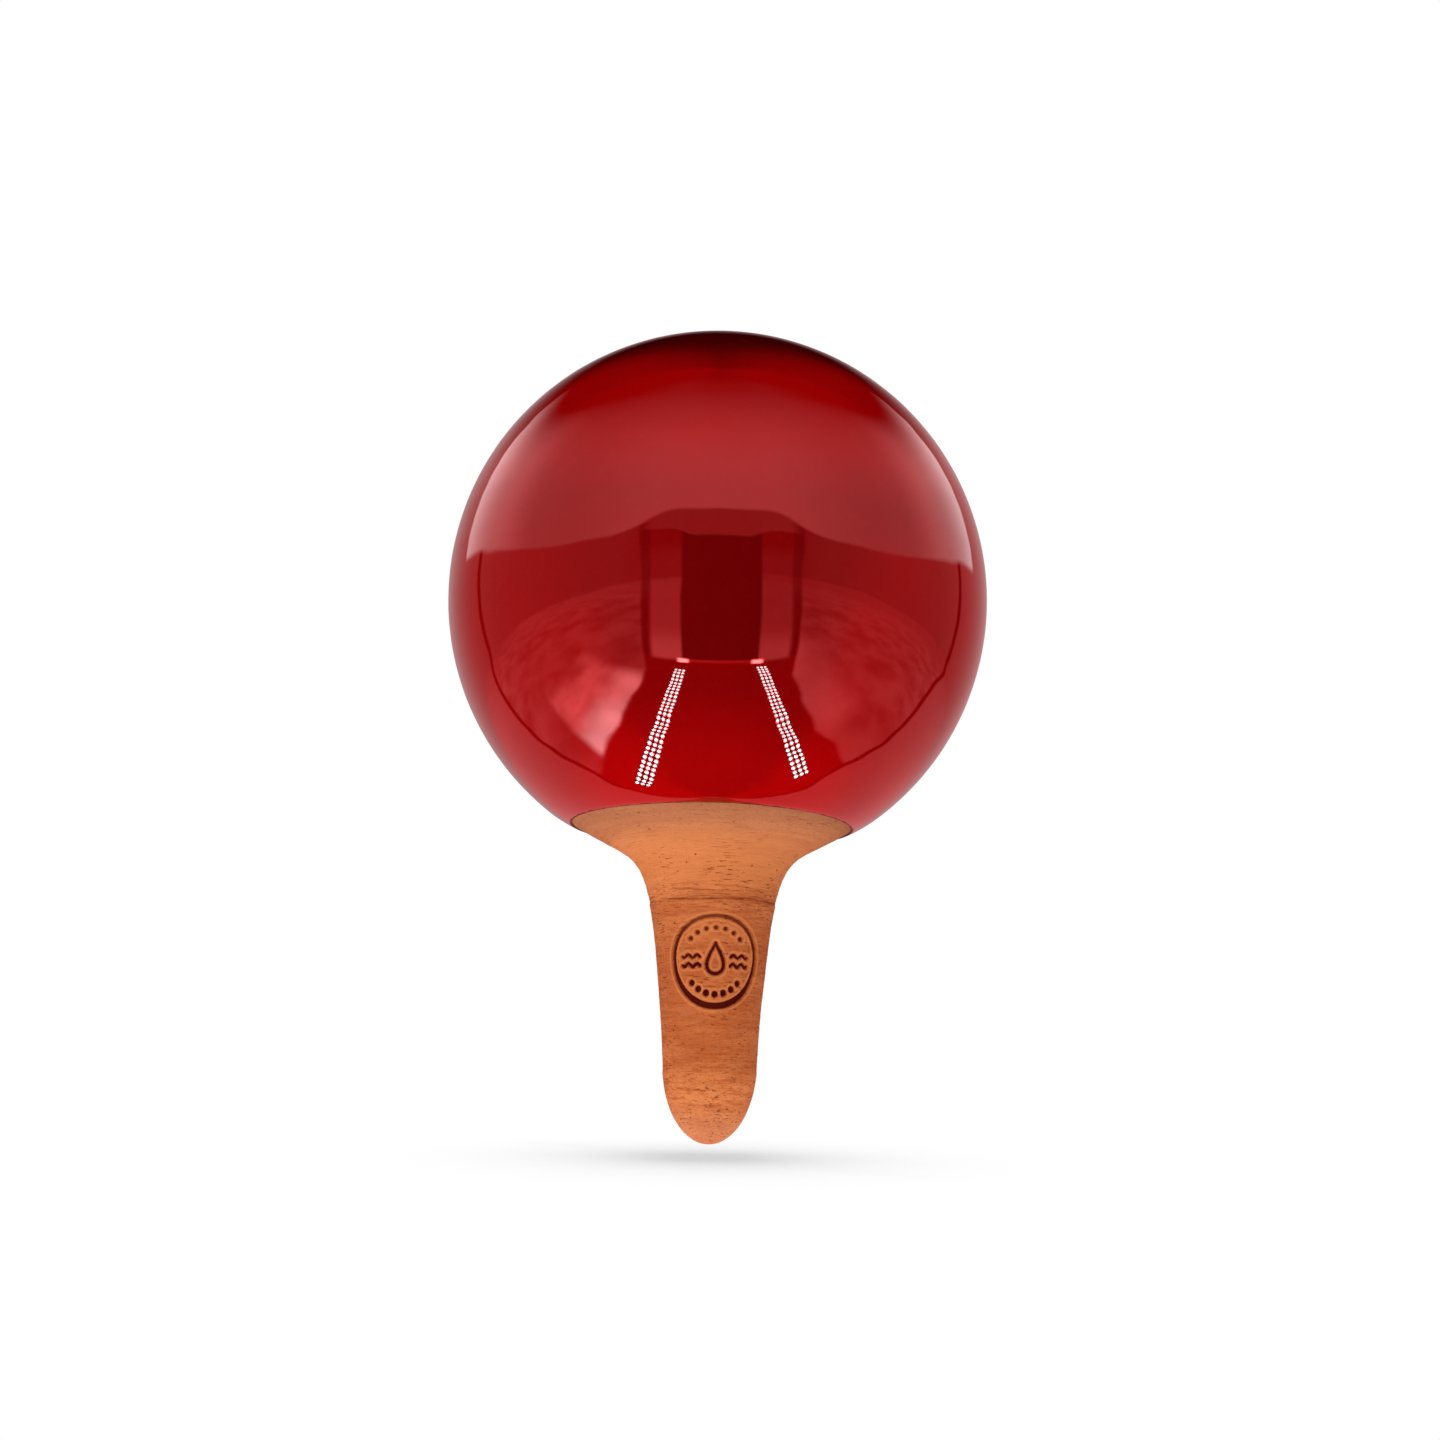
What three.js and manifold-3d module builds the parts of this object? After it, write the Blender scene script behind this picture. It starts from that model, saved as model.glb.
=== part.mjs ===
import * as THREE from "three";
import { mergeVertices } from "three/addons/utils/BufferGeometryUtils.js";
import Module from "manifold-3d";

const wasm = await Module();
wasm.setup();

// Sizes are in millimetres and angles in degrees. The origin is the tip of the spike, +Z runs up
// the axis to the filler mouth, and the stamped side faces -Y.

// Globe
const globeRadius = 60; // over the glaze
const glazeThickness = 0.7;
const glazeGap = 0.05; // between the glaze and the clay under it
const globeWall = 5.5;
const neckLength = 8; // from the joint up to the level of the globe's lowest point
const shoulderAngle = 29.6; // where the shoulder leaves the globe, from its lower pole
const shoulderReach = 12.7; // how far the shoulder keeps to the globe's tangent
const neckReach = 10.4; // how far the neck keeps to its own flare
const dipAngle = 31.4; // the glaze's lower edge, from the lower pole
const throatAngle = 25; // where the inside leaves the round, from the lower pole
const throatLength = 6; // straight bore above the joint
const throatReach = 8;
const throatRise = 5;

// Rim and filler mouth
const rimRadius = 19.5;
const rimHeight = 1.2; // the rim stands this far above the globe
const rimGap = 1; // bare clay between the glaze and the rim
const mouthRadius = 16; // of the dish round the stopper
const mouthDepth = 5;
const crownThickness = 11; // from the rim down to the inside, at the mouth

// Spike
const spikeLength = 49.2;
const spikeWall = 4.5;
const neckRadius = 13.55; // outside, at the joint
const neckFlare = 0.26; // outward slope at the joint
const flareLength = 6.1;
const noseRadius = 9.9;
const noseLength = 16;
const noseBlend = 3;
const tipThickness = 6;

// Slip joint
const slipThickness = 0.8;
const seamDepth = 0.5; // the slip lies this far below the clay

// Stopper
const stopperRadius = 10; // at its top
const stopperLength = 18;
const stopperTaper = 0.11; // radius lost for each millimetre down
const stopperEdge = 0.8;
const stopperSink = 0.4; // its top lies this far below the rim
const stopperClearance = 0.3;

// Stamped ring
const stampRadius = 9.1; // at the middle of its groove
const stampGroove = 0.55; // half the groove's width
const stampBelowJoint = 2.6; // from the joint down to the ring's edge
const stampTurn = 4; // round the axis, from the front towards +X

// Facets
const turnSteps = 48;
const globeSteps = 14;
const curveSteps = 6;

// Heights and radii that follow from the sizes
const clayRadius = globeRadius - glazeThickness - glazeGap;
const cavityRadius = clayRadius - globeWall;
const boreRadius = neckRadius - spikeWall;
const neckBottom = spikeLength + slipThickness;
const globeCentre = neckBottom + neckLength + clayRadius;
const rimBase = globeCentre + Math.sqrt(clayRadius ** 2 - rimRadius ** 2);
const rimTop = rimBase + rimHeight;
const crownInside = rimTop - crownThickness;
const stopperTop = rimTop - stopperSink;

const radians = THREE.MathUtils.degToRad;
const at = (radius, height) => new THREE.Vector2(radius, height);

// The point that lies on a round of that radius about the globe's centre, at an angle from its lower pole.
const onRound = (radius, angle) => at(radius * Math.sin(angle), globeCentre - radius * Math.cos(angle));

// The point that lies before another by that reach, along a tangent of the globe at that angle.
function before(point, reach, angle) {
  return at(point.x - reach * Math.cos(angle), point.y - reach * Math.sin(angle));
}

// A round stretch of an outline, with angles from the lower pole of a globe centred at that height.
function round(centre, radius, height, from, to, steps) {
  const [start, end] = [from - Math.PI / 2, to - Math.PI / 2];
  return new THREE.EllipseCurve(0, centre, radius, height, start, end, from > to).getPoints(steps);
}

function bend(start, startHandle, endHandle, end) {
  return new THREE.CubicBezierCurve(start, startHandle, endHandle, end).getPoints(curveSteps);
}

function solid(geometry) {
  const shape = new THREE.BufferGeometry();
  shape.setAttribute("position", geometry.getAttribute("position"));
  shape.setIndex(geometry.index);
  const merged = mergeVertices(shape, 1e-4);
  return new wasm.Manifold(
    new wasm.Mesh({
      numProp: 3,
      vertProperties: merged.attributes.position.array,
      triVerts: new Uint32Array(merged.index.array),
    }),
  );
}

// A turned piece from the stretches of its outline, each given as radius and height.
function turned(...stretches) {
  const points = stretches.flat();
  const outline = points.filter((p, i) => i === 0 || p.distanceTo(points[i - 1]) > 1e-6);
  return solid(new THREE.LatheGeometry(outline, turnSteps).rotateX(Math.PI / 2));
}

function named(name, shape, color, roughness) {
  const mesh = shape.getMesh();
  const geometry = new THREE.BufferGeometry();
  geometry.setAttribute("position", new THREE.BufferAttribute(mesh.vertProperties, 3));
  geometry.setIndex(new THREE.BufferAttribute(mesh.triVerts, 1));
  geometry.computeVertexNormals();
  const piece = new THREE.Mesh(geometry, new THREE.MeshStandardMaterial({ color, roughness }));
  piece.name = name;
  return piece;
}

// Glaze, which keeps clear of the rim so that the globe stands on bare clay
const dip = radians(dipAngle);
const glazeEdge = Math.PI - Math.asin((rimRadius + rimGap) / clayRadius);
const glazeRoll = glazeThickness / 2 / globeRadius; // its edges round off by half its thickness
const [coatLow, coatHigh] = [dip + glazeRoll, glazeEdge - glazeRoll];
const glazeUnder = clayRadius + glazeGap;
const glazeMiddle = glazeUnder + glazeThickness / 2;
const glazeOutside = round(globeCentre, globeRadius, globeRadius, coatLow, coatHigh, globeSteps);
const glazeCoat = turned(
  glazeOutside,
  [onRound(glazeMiddle, glazeEdge)],
  round(globeCentre, glazeUnder, glazeUnder, coatHigh, coatLow, globeSteps),
  [onRound(glazeMiddle, dip), glazeOutside[0]],
);

// Globe, from the neck's lower end up its outside, over the rim and down its inside
const shoulder = radians(shoulderAngle);
const shoulderTop = onRound(clayRadius, shoulder);
const shoulderOutside = bend(
  at(neckRadius, neckBottom),
  at(neckRadius + neckFlare * neckReach, neckBottom + neckReach),
  before(shoulderTop, shoulderReach, shoulder),
  shoulderTop,
);
const globeOutside = round(globeCentre, clayRadius, clayRadius, coatLow, coatHigh, globeSteps);

const seatRadius = (height) => stopperRadius - stopperTaper * (stopperTop - height) + stopperClearance;
const mouthFoot = at(seatRadius(rimTop - mouthDepth), rimTop - mouthDepth);
const seatFoot = at(seatRadius(crownInside), crownInside);
const mouthInside = new THREE.QuadraticBezierCurve(
  at(mouthRadius, rimTop),
  at(mouthRadius, mouthFoot.y),
  mouthFoot,
).getPoints(curveSteps);

const crown = Math.PI - Math.asin(seatFoot.x / cavityRadius);
const crownRise = (crownInside - globeCentre) / -Math.cos(crown);
const throat = radians(throatAngle);
const throatTop = onRound(cavityRadius, throat);
const throatInside = bend(
  throatTop,
  before(throatTop, throatReach, throat),
  at(boreRadius, neckBottom + throatLength + throatRise),
  at(boreRadius, neckBottom + throatLength),
);
const globeShell = turned(
  shoulderOutside,
  globeOutside,
  [at(rimRadius, rimBase), at(rimRadius, rimTop)],
  mouthInside,
  [seatFoot],
  round(globeCentre, cavityRadius, crownRise, crown, Math.PI / 2, curveSteps),
  round(globeCentre, cavityRadius, cavityRadius, Math.PI / 2, throat, curveSteps),
  throatInside,
  [at(boreRadius, neckBottom), at(neckRadius, neckBottom)],
);

// Spike, hollow up to the joint
function wallCurve(start, end) {
  const flare = at(end.x - neckFlare * flareLength, end.y - flareLength);
  return bend(start, at(start.x, start.y + noseBlend), flare, end);
}
const spikeOutside = wallCurve(at(noseRadius, noseLength), at(neckRadius, spikeLength));
const boreNose = noseRadius - spikeWall;
const spikeInside = wallCurve(at(boreNose, noseLength), at(boreRadius, spikeLength));
const spikeBody = turned(
  round(noseLength, noseRadius, noseLength, 0, Math.PI / 2, curveSteps),
  spikeOutside,
  spikeInside.toReversed(),
  round(noseLength, boreNose, noseLength - tipThickness, Math.PI / 2, 0, curveSteps),
);

// The stamped ring, a groove that is bent round the spike and follows its taper
function spikeRadius(height) {
  const upper = spikeOutside.findIndex((p) => p.y > height);
  const [a, b] = [spikeOutside[upper - 1], spikeOutside[upper]];
  return THREE.MathUtils.mapLinear(height, a.y, b.y, a.x, b.x);
}
const stampCentre = spikeLength - stampBelowJoint - stampRadius - stampGroove;
const ring = new THREE.TorusGeometry(stampRadius, stampGroove, 6, turnSteps);
const ringPoints = ring.getAttribute("position");
for (let i = 0; i < ringPoints.count; i++) {
  const height = stampCentre + ringPoints.getY(i);
  const turn = radians(stampTurn) + ringPoints.getX(i) / spikeRadius(stampCentre);
  const radius = spikeRadius(height) + ringPoints.getZ(i);
  ringPoints.setXYZ(i, radius * Math.sin(turn), -radius * Math.cos(turn), height);
}
const spike = spikeBody.subtract(solid(ring));

// Slip between the two flat clay faces
const slipJoint = turned([
  at(neckRadius - seamDepth, spikeLength),
  at(neckRadius - seamDepth, neckBottom),
  at(boreRadius, neckBottom),
  at(boreRadius, spikeLength),
  at(neckRadius - seamDepth, spikeLength),
]);

// Stopper
const stopperBottom = stopperTop - stopperLength;
const stopperSide = (height) => stopperRadius - stopperTaper * (stopperTop - height);
const stopper = turned([
  at(0, stopperBottom),
  at(stopperSide(stopperBottom) - stopperEdge, stopperBottom),
  at(stopperSide(stopperBottom + stopperEdge), stopperBottom + stopperEdge),
  at(stopperSide(stopperTop - stopperEdge), stopperTop - stopperEdge),
  at(stopperRadius - stopperEdge, stopperTop),
  at(0, stopperTop),
]);

const olla = new THREE.Group();
olla.name = "terracotta_olla";
olla.add(
  named("globe_shell", globeShell, 0xc9764a, 0.85),
  named("glaze_coat", glazeCoat, 0x98070c, 0.08),
  named("slip_joint", slipJoint, 0x6e3a22, 0.9),
  named("spike", spike, 0xc26c3f, 0.85),
  named("stopper", stopper, 0xb98a5c, 0.8),
);

export default olla;
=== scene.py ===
"""The looks of a terracotta olla: a glazed water globe on a bare clay spike, with a cork in its mouth.

Sizes are in millimetres until a mesh is made, and the meshes are in metres in the part's own frame:
the origin is the tip of the spike, +Z runs up the axis and the stamped side faces -Y.
"""

import logging
import math
from dataclasses import dataclass, field
from enum import Enum
from typing import Any

import bpy
import numpy as np
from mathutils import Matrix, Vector


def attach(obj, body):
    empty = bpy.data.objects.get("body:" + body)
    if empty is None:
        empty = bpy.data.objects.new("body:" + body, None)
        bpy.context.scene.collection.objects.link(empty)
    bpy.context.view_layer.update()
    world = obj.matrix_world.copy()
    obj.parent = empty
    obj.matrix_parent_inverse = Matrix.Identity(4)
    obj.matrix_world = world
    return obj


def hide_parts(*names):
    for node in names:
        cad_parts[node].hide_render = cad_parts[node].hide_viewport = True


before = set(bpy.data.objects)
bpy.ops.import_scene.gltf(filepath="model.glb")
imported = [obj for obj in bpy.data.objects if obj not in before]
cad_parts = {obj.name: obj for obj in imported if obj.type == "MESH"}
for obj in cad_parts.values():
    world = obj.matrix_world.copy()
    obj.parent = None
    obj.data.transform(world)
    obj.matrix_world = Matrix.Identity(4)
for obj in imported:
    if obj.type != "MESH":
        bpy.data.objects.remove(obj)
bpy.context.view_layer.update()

LOG = logging.getLogger("olla")
MM = 0.001
MERGE_DISTANCE = 2e-6  # metres
SMOOTH_ANGLE = 50.0  # degrees
RIPPLE_FADE = 2.0  # millimetres from the end of a stretch to its full ripples
RIPPLE_LAG = 1.7  # radians from one wave to the next
SEAM_INSET = 0.04  # millimetres that the clay's edges along the seam are worn
FAR = 1e3  # millimetres, well away from any line of the stamp

Point = tuple[float, float]
Colour = tuple[float, float, float]


class Body(Enum):
    """The part's two rigid bodies."""

    VESSEL = "vessel"
    STOPPER = "stopper"


def srgb(red: int, green: int, blue: int) -> Colour:
    """Turn a screen colour into linear values.

    Args:
        red: Red from 0 to 255.
        green: Green from 0 to 255.
        blue: Blue from 0 to 255.

    Returns:
        The three linear values.
    """

    def linear(value: int) -> float:
        """Give one channel's linear value."""
        share = value / 255
        return share / 12.92 if share <= 0.04045 else ((share + 0.055) / 1.055) ** 2.4

    return linear(red), linear(green), linear(blue)


# Outlines


def arc(centre: float, radius: float, height: float, start: float, end: float, steps: int) -> list[Point]:
    """Follow a round outline.

    Args:
        centre: Height of the round's centre on the axis.
        radius: Half width of the round.
        height: Half height of the round.
        start: First angle from the lower pole, in degrees.
        end: Last angle from the lower pole, in degrees.
        steps: Number of stretches.

    Returns:
        Points as radius and height.
    """
    angles = (math.radians(start + (end - start) * i / steps) for i in range(steps + 1))
    return [(radius * math.sin(a), centre - height * math.cos(a)) for a in angles]


def bend(start: Point, start_handle: Point, end_handle: Point, end: Point, steps: int) -> list[Point]:
    """Follow a cubic curve.

    Args:
        start: First point.
        start_handle: Handle of the first point.
        end_handle: Handle of the last point.
        end: Last point.
        steps: Number of stretches.

    Returns:
        Points as radius and height.
    """
    points = []
    for i in range(steps + 1):
        t = i / steps
        weights = ((1 - t) ** 3, 3 * (1 - t) ** 2 * t, 3 * (1 - t) * t**2, t**3)
        knots = (start, start_handle, end_handle, end)
        points.append(tuple(sum(w * k[n] for w, k in zip(weights, knots)) for n in (0, 1)))
    return points


def rippled(points: list[Point], depth: float, waves: tuple[float, ...]) -> list[Point]:
    """Press turning ripples into a stretch of outline, fading out at both ends.

    Args:
        points: The stretch, as radius and height.
        depth: Height of the ripples.
        waves: Their wavelengths, whose waves add up.

    Returns:
        The rippled stretch.
    """
    runs = [0.0]
    for a, b in zip(points, points[1:]):
        runs.append(runs[-1] + math.dist(a, b))
    made = []
    for i, (run, point) in enumerate(zip(runs, points)):
        before, after = points[max(i - 1, 0)], points[min(i + 1, len(points) - 1)]
        along = (after[0] - before[0], after[1] - before[1])
        length = math.hypot(*along)
        fade = min(1.0, run / RIPPLE_FADE, (runs[-1] - run) / RIPPLE_FADE)
        wave = sum(math.sin(math.tau * run / w + RIPPLE_LAG * k) for k, w in enumerate(waves))
        push = depth * fade * wave / len(waves)
        made.append((point[0] + push * along[1] / length, point[1] - push * along[0] / length))
    return made


# Modelling


def deselect() -> None:
    """Leave edit mode and deselect every object."""
    if bpy.context.object and bpy.context.object.mode != "OBJECT":
        bpy.ops.object.mode_set(mode="OBJECT")
    bpy.ops.object.select_all(action="DESELECT")


def choose(piece: bpy.types.Object) -> None:
    """Make a piece the only selected object and the active one."""
    deselect()
    piece.select_set(True)
    bpy.context.view_layer.objects.active = piece


def turn(name: str, outline: list[Point], steps: int) -> bpy.types.Object:
    """Turn a piece on the axis: draw its outline point by point, then spin it.

    Args:
        name: The piece's name.
        outline: A closed outline, or one that starts and ends on the axis, as radius and height.
        steps: Facets in a full turn.

    Returns:
        The turned piece, at the origin.
    """
    deselect()
    bpy.ops.mesh.primitive_plane_add(size=MM)
    piece = bpy.context.object
    piece.name = piece.data.name = name
    bpy.ops.object.mode_set(mode="EDIT")
    bpy.context.tool_settings.mesh_select_mode = (True, False, False)
    bpy.ops.mesh.select_all(action="SELECT")
    bpy.ops.mesh.merge(type="CENTER")
    bpy.ops.transform.translate(value=(outline[0][0] * MM, 0, outline[0][1] * MM))
    for here, there in zip(outline, outline[1:]):
        move = ((there[0] - here[0]) * MM, 0, (there[1] - here[1]) * MM)
        bpy.ops.mesh.extrude_region_move(TRANSFORM_OT_translate={"value": move})
    bpy.ops.mesh.select_all(action="SELECT")
    bpy.ops.mesh.spin(steps=steps, angle=math.tau, center=(0, 0, 0), axis=(0, 0, 1))
    bpy.ops.mesh.select_all(action="SELECT")
    bpy.ops.mesh.remove_doubles(threshold=MERGE_DISTANCE)
    bpy.ops.mesh.normals_make_consistent(inside=False)
    bpy.ops.object.mode_set(mode="OBJECT")
    return piece


def displace(piece: bpy.types.Object, name: str, depth: float, **settings: Any) -> None:
    """Move a surface along its normals.

    Args:
        piece: The piece.
        name: The modifier's name.
        depth: The full depth in millimetres, inwards where negative.
        **settings: The modifier's other settings.
    """
    choose(piece)
    push = piece.modifiers.new(name, "DISPLACE")
    push.strength = depth * MM
    for key, value in settings.items():
        setattr(push, key, value)
    bpy.ops.object.modifier_apply(modifier=push.name)


def roughen(piece: bpy.types.Object, grain: float, depth: float) -> None:
    """Make a surface slightly uneven, as handled clay or cork is.

    Args:
        piece: The piece.
        grain: Size of the unevenness, in millimetres.
        depth: Its full depth, in millimetres.
    """
    texture = bpy.data.textures.new(f"{piece.name}_grain", "CLOUDS")
    texture.noise_scale = grain * MM
    displace(piece, "uneven", depth, texture=texture, texture_coords="LOCAL", mid_level=0.5)


def points_of(piece: bpy.types.Object) -> np.ndarray:
    """Give a piece's points in millimetres."""
    flat = np.empty(len(piece.data.vertices) * 3, np.float32)
    piece.data.vertices.foreach_get("co", flat)
    return flat.reshape(-1, 3).astype(float) / MM


def place_points(piece: bpy.types.Object, points: np.ndarray) -> None:
    """Put a piece's points at new places, given in millimetres."""
    piece.data.vertices.foreach_set("co", (points * MM).astype(np.float32).ravel())
    piece.data.update()


def mark(piece: bpy.types.Object, name: str, values: np.ndarray) -> None:
    """Write a value for each of a piece's points, which its material reads by name."""
    marks = piece.data.attributes.new(name, "FLOAT", "POINT")
    marks.data.foreach_set("value", values.astype(np.float32))


def eased(share: np.ndarray) -> np.ndarray:
    """Cut shares to the range from 0 to 1 and ease them in and out."""
    share = np.clip(share, 0, 1)
    return share**2 * (3 - 2 * share)


def select_faces(piece: bpy.types.Object, wanted: list[bool]) -> None:
    """Enter edit mode with only the wanted faces selected.

    Args:
        piece: The piece.
        wanted: Whether each face is wanted.
    """
    choose(piece)
    bpy.ops.object.mode_set(mode="EDIT")
    bpy.context.tool_settings.mesh_select_mode = (False, False, True)
    bpy.ops.mesh.select_all(action="DESELECT")
    bpy.ops.object.mode_set(mode="OBJECT")
    piece.data.polygons.foreach_set("select", wanted)
    bpy.ops.object.mode_set(mode="EDIT")


def seat(piece: bpy.types.Object, body: Body, node: str, skin: bpy.types.Material) -> None:
    """Shade and dress a finished piece, and tie it to the part.

    Args:
        piece: The finished piece.
        body: The rigid body that carries it.
        node: The solid that it stands for.
        skin: Its material.
    """
    choose(piece)
    bpy.ops.object.shade_smooth_by_angle(angle=math.radians(SMOOTH_ANGLE))
    piece.data.materials.clear()
    piece.data.materials.append(skin)
    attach(piece, body.value)
    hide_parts(node)


# Shader maths


class Wire:
    """An output socket whose values can be worked with in expressions."""

    def __init__(self, shader: "Shader", socket: bpy.types.NodeSocket) -> None:
        """Hold a socket of a shader's node tree."""
        self.shader = shader
        self.socket = socket

    def _math(self, operation: str, *values: Any) -> "Wire":
        """Add a Math node on these values."""
        return self.shader.add("ShaderNodeMath", dict(enumerate(values)), operation=operation)

    def __add__(self, other: Any) -> "Wire":
        """Add."""
        return self._math("ADD", self, other)

    def __radd__(self, other: Any) -> "Wire":
        """Add, from the right."""
        return self._math("ADD", other, self)

    def __sub__(self, other: Any) -> "Wire":
        """Take away."""
        return self._math("SUBTRACT", self, other)

    def __rsub__(self, other: Any) -> "Wire":
        """Take away, from the right."""
        return self._math("SUBTRACT", other, self)

    def __mul__(self, other: Any) -> "Wire":
        """Multiply."""
        return self._math("MULTIPLY", self, other)

    def __rmul__(self, other: Any) -> "Wire":
        """Multiply, from the right."""
        return self._math("MULTIPLY", other, self)

    def __truediv__(self, other: Any) -> "Wire":
        """Divide."""
        return self._math("DIVIDE", self, other)

    def __pow__(self, other: Any) -> "Wire":
        """Raise to a power."""
        return self._math("POWER", self, other)

    def __neg__(self) -> "Wire":
        """Change the sign."""
        return self._math("MULTIPLY", self, -1.0)

    def __abs__(self) -> "Wire":
        """Drop the sign."""
        return self._math("ABSOLUTE", self)

    def __mod__(self, other: Any) -> "Wire":
        """Repeat in steps, also below zero."""
        return self._math("FLOORED_MODULO", self, other)

    def angle(self, other: "Wire") -> "Wire":
        """Give the angle, in degrees, of a slope that rises by this for each of the other."""
        return self._math("ARCTAN2", self, other) * math.degrees(1)

    def between(self, low: "Wire | float", high: "Wire | float") -> "Wire":
        """Rise smoothly from 0 at one value to 1 at the other.

        Args:
            low: Value where the result is 0.
            high: Value where the result is 1, which may be the lower one.

        Returns:
            The eased share.
        """
        inputs = {"Value": self, "From Min": low, "From Max": high}
        return self.shader.add("ShaderNodeMapRange", inputs, interpolation_type="SMOOTHSTEP")


class Shader:
    """A material, or the world, that is put together node by node."""

    def __init__(self, owner: bpy.types.Material | bpy.types.World) -> None:
        """Start with an empty node tree."""
        self.owner = owner
        owner.use_nodes = True
        self.tree = owner.node_tree
        self.tree.nodes.clear()

    def add(self, kind: str, inputs: dict | None = None, out: int | str = 0, **settings: Any) -> Wire:
        """Add any node.

        Args:
            kind: The node's type.
            inputs: Values or wires by the socket's name or number.
            out: The output to return.
            **settings: The node's own settings, set first.

        Returns:
            The wanted output.
        """
        node = self.tree.nodes.new(kind)
        for key, value in settings.items():
            setattr(node, key, value)
        for key, value in (inputs or {}).items():
            if isinstance(value, Wire):
                self.tree.links.new(value.socket, node.inputs[key])
            elif isinstance(value, tuple) and node.inputs[key].type == "RGBA":
                node.inputs[key].default_value = (*value, 1.0)
            else:
                node.inputs[key].default_value = value
        return Wire(self, node.outputs[out])

    def mix(self, share: Wire | float, first: Wire | Colour, second: Wire | Colour) -> Wire:
        """Mix two colours.

        Args:
            share: How much of the second colour.
            first: The first colour.
            second: The second colour.

        Returns:
            The mixed colour.
        """
        return self.add("ShaderNodeMix", {0: share, 6: first, 7: second}, out=2, data_type="RGBA")

    def layered(self, colour: Wire | Colour, *layers: tuple[Wire, Colour]) -> Wire:
        """Lay colours over one another.

        Args:
            colour: The lowest colour.
            *layers: How much of each colour lies above it, and the colour.

        Returns:
            The mixed colour.
        """
        for share, over in layers:
            colour = self.mix(share, colour, over)
        return colour

    def attribute(self, name: str) -> Wire:
        """Read a value that is written on the piece's points."""
        return self.add("ShaderNodeAttribute", out="Fac", attribute_name=name)

    def scaled(self, vector: Wire, factors: tuple[float, float, float]) -> Wire:
        """Stretch a vector along the three axes."""
        return self.add("ShaderNodeVectorMath", {0: vector, 1: factors}, operation="MULTIPLY")

    def noise(self, vector: Wire, scale: float, detail: float = 2.0, rough: float = 0.5) -> Wire:
        """Add a noise on a vector, which varies about 0.5."""
        inputs = {"Vector": vector, "Scale": scale, "Detail": detail, "Roughness": rough}
        return self.add("ShaderNodeTexNoise", inputs)

    def specks(self, vector: Wire, scale: float, size: float, share: float) -> Wire:
        """Scatter round specks.

        Args:
            vector: Where to look.
            scale: Cells in a unit.
            size: A speck's radius in cells.
            share: The share of cells that hold one.

        Returns:
            1 in a speck and 0 outside.
        """
        inputs = {"Vector": vector, "Scale": scale}
        near = self.add("ShaderNodeTexVoronoi", inputs).between(size, size * 0.45)
        cell = self.add("ShaderNodeTexVoronoi", inputs, out="Color")
        red = self.add("ShaderNodeSeparateColor", {"Color": cell})
        return near * red.between(share, share * 0.8)

    def bump(self, height: Wire, distance: float, strength: float = 1.0) -> Wire:
        """Add a bump, whose height of 1 stands for a distance in millimetres."""
        inputs = {"Height": height, "Distance": distance * MM, "Strength": strength}
        return self.add("ShaderNodeBump", inputs, out="Normal")

    def glow(self, tone: Wire, blush: Wire) -> None:
        """Finish a stage material that shines with a pale tone and with red thrown back by the glaze.

        Args:
            tone: How bright the pale part is.
            blush: How much red comes to it.
        """
        colour = {"Red": tone + blush, "Green": tone * 0.98, "Blue": tone * 0.99}
        self.finish(self.add("ShaderNodeEmission", {"Color": self.add("ShaderNodeCombineColor", colour)}))

    def surface(self, **sockets: Any) -> bpy.types.Material:
        """Finish the material with a Principled shader.

        Args:
            **sockets: Its sockets, with an underscore for a space.

        Returns:
            The finished material.
        """
        inputs = {key.replace("_", " "): value for key, value in sockets.items()}
        self.finish(self.add("ShaderNodeBsdfPrincipled", inputs))
        return self.owner

    def finish(self, shade: Wire, kind: str = "ShaderNodeOutputMaterial") -> None:
        """Send a shader to the output."""
        node = self.tree.nodes.new(kind)
        self.tree.links.new(shade.socket, node.inputs["Surface"])


class TurnedPlace:
    """Where a point of a turned surface lies, in millimetres, for a shader's patterns."""

    def __init__(self, shader: Shader) -> None:
        """Read the object's own coordinates."""
        place = shader.add("ShaderNodeTexCoord", out="Object")
        self.shader = shader
        self.spot = shader.scaled(place, (1 / MM, 1 / MM, 1 / MM))
        split = shader.add("ShaderNodeSeparateXYZ", {0: self.spot})
        self.x, self.y, self.z = (Wire(shader, out) for out in split.socket.node.outputs)
        # The axis keeps a small radius, because streaks divide by it.
        self.radius = (self.x * self.x + self.y * self.y + 0.01) ** 0.5
        # How far along the outline, on steep and on flat stretches.
        self.run = self.z + 0.8 * self.radius

    def streak(self, length: float, width: float) -> Wire:
        """Give a vector that stretches a pattern round the axis.

        Args:
            length: How far the pattern runs round, as a share of the radius.
            width: How far it runs along the outline, in millimetres.

        Returns:
            The stretched place.
        """
        inputs = {
            "X": self.x / self.radius * (1 / length),
            "Y": self.y / self.radius * (1 / length),
            "Z": self.run * (1 / width),
        }
        return self.shader.add("ShaderNodeCombineXYZ", inputs)


# Finishes


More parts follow.
